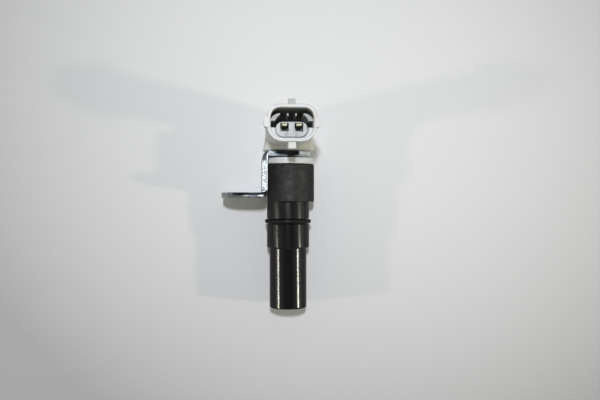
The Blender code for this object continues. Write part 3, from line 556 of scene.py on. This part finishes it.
resin, place = new_finish("potting_resin")
bubbles = place.spots(1500.0).between(0.05, 0.16, 1.0, 0.0)
depth = place.noise(400.0, 3.0)
dress(
    resin,
    {
        "Base Color": depth.blend(RESIN, RESIN_EDGE),
        "Roughness": 0.18 + depth * 0.12,
        "Normal": place.relief(depth * 0.00004 - bubbles * 0.00003),
    },
    "potting_plug",
)


# The card is the plain pale ground that the sensor lies on, with the faint cloudiness and fibre of
# uncoated paper.

CARD_WHITE = (0.92, 0.916, 0.92, 1.0)
CARD_GREY = (0.875, 0.877, 0.886, 1.0)
UNLIT = (0.0, 0.0, 0.0, 1.0)
WALL = (0.98, 0.98, 1.0, 1.0)
WALL_LIGHT = 0.66

low, high = cad_box
bpy.ops.mesh.primitive_plane_add(size=4.0, location=(0, 0.04, low.z - 0.00005))
card = bpy.context.object
card.name = "card"
paper, place = new_finish("white_card")
tone = place.noise(9.0, 2.0)
fibre = place.noise(2500.0, 3.0)
ray = paper.node_tree.nodes.new("ShaderNodeLightPath")
seen = Value(paper.node_tree, ray.outputs["Is Camera Ray"])
mirrored = Value(paper.node_tree, ray.outputs["Is Glossy Ray"])
across = place.axis("X") * 10
upwards = place.axis("Y") * 10
# Painted light: the card's colour is brightest near the sensor and falls off towards its edges as the lamps'
# light does, and it is painted 65% darker where it is seen in reflections.
light = 0.9 + across * 0.0815 + upwards * 0.147 - across * upwards * 0.021
light = light - across * across * 0.137 - upwards * upwards * 0.163
light = light.maths("MAXIMUM", light, 0.50) * (1 - mirrored * 0.65)
tint = light.blend(UNLIT, tone.blend(CARD_WHITE, CARD_GREY))
card.data.materials.append(paper)
dress(
    paper,
    {
        "Base Color": tint,
        "Roughness": 0.75 + fibre * 0.1,
        "Normal": place.relief(fibre * 0.00001),
    },
)
far = (across * across + upwards * upwards).between(3.2, 11.0)
card_shader = Value(paper.node_tree, paper.node_tree.nodes["Principled BSDF"].outputs["BSDF"])
wall_shader = place.node("ShaderNodeEmission", {}, {"Color": WALL, "Strength": WALL_LIGHT})
both = place.node("ShaderNodeMixShader", {}, {0: far * seen, 1: card_shader, 2: wall_shader})
paper.node_tree.links.new(both.socket, paper.node_tree.nodes["Material Output"].inputs["Surface"])


# The camera looks straight down on the card from 0.3 m, with the sensor turned a little about its
# own length. A cool lamp stands past the socket, and a small warm one low at each side.

TURN = math.radians(4.05)
HEIGHT = 0.300
SIDEWAYS = 0.00508
ALONG = 0.0454

camera = bpy.data.objects.new("camera", bpy.data.cameras.new("camera"))
camera.data.lens = 42.5
camera.data.clip_start = 0.01
camera.location = (
    SIDEWAYS * math.cos(TURN) - HEIGHT * math.sin(TURN),
    ALONG,
    HEIGHT * math.cos(TURN) + SIDEWAYS * math.sin(TURN),
)
camera.rotation_euler = (0, -TURN, 0)
bpy.context.scene.collection.objects.link(camera)
bpy.context.scene.camera = camera


def soft_lamp(name, place, aim, size, power, colour):
    """A rectangular lamp of that size in metres, turned towards a point."""
    lamp = bpy.data.objects.new(name, bpy.data.lights.new(name, "AREA"))
    lamp.data.shape = "RECTANGLE"
    lamp.data.size, lamp.data.size_y = size
    lamp.data.energy = power
    lamp.data.color = colour
    lamp.location = place
    towards = [end - start for start, end in zip(place, aim)]
    lamp.rotation_euler = Vector(towards).to_track_quat("-Z", "Y").to_euler()
    bpy.context.scene.collection.objects.link(lamp)


COOL = (0.90, 0.93, 1.0)
WARM = (1.0, 0.97, 0.82)
soft_lamp("lamp_ahead", (-0.036, 0.200, 0.630), (0.0, 0.05, 0.0), (0.045, 0.045), 2.5, COOL)
soft_lamp("lamp_left", (-0.65, -0.075, 0.290), (0.0, 0.03, 0.0), (0.05, 0.03), 0.85, WARM)
soft_lamp("lamp_right", (0.65, -0.075, 0.340), (0.0, 0.03, 0.0), (0.05, 0.03), 1.15, WARM)

ROOM = (1.0, 0.98, 0.87, 1.0)
DARK_ROOM = (0.10, 0.10, 0.10, 1.0)
ROOM_LIGHT = 0.27

world = bpy.data.worlds.new("room")
world.use_nodes = True
tree = world.node_tree
overhead = Value(tree, tree.nodes.new("ShaderNodeTexCoord").outputs["Generated"]).axis("Z")
room = overhead.between(0.80, 0.97).blend(ROOM, DARK_ROOM)
ray = tree.nodes.new("ShaderNodeLightPath")
seen = Value(tree, ray.outputs["Is Camera Ray"])
mirrored = Value(tree, ray.outputs["Is Glossy Ray"]) * overhead.between(0.10, 0.45, 1.0, 0.0)
wall = seen.maths("MAXIMUM", seen, mirrored)
room_shader = seen.node("ShaderNodeBackground", {}, {"Color": room, "Strength": ROOM_LIGHT})
wall_shader = seen.node("ShaderNodeBackground", {}, {"Color": WALL, "Strength": WALL_LIGHT})
both = seen.node("ShaderNodeMixShader", {}, {0: wall, 1: room_shader, 2: wall_shader})
tree.links.new(both.socket, tree.nodes["World Output"].inputs["Surface"])
bpy.context.scene.world = world
bpy.context.scene.view_settings.view_transform = "Standard"
